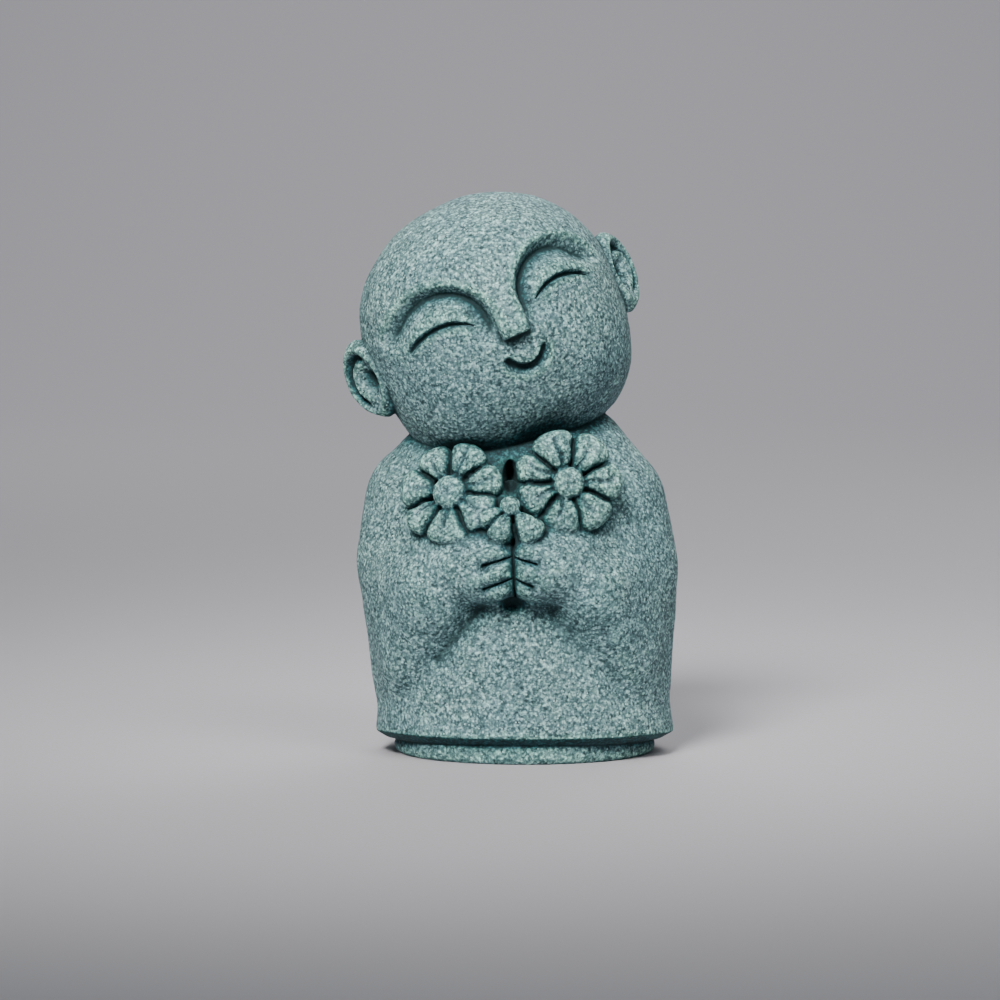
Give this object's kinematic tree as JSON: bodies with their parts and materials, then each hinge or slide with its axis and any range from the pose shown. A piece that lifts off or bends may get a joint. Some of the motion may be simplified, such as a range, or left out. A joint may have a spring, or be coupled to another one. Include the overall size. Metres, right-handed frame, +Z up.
{
  "type": "monk figurine",
  "caption": "Small cast stone-effect figurine of a smiling child monk with a tilted round head, closed eyes and large ears, hands together under a bunch of daisies, on a low oval base.",
  "frame": {"origin": "centre of the oval base's underside", "axes": "+Z up, the figure faces -Y, +X to the viewer's right when it is seen from the front"},
  "size_m": [0.0662, 0.0532, 0.1102],
  "materials": {
    "cast_stone": "matt, grainy blue-grey sand resin with pale and dark specks"
  },
  "bodies": {
    "root": {"monk_figurine": "cast_stone"}
  },
  "joints": []
}
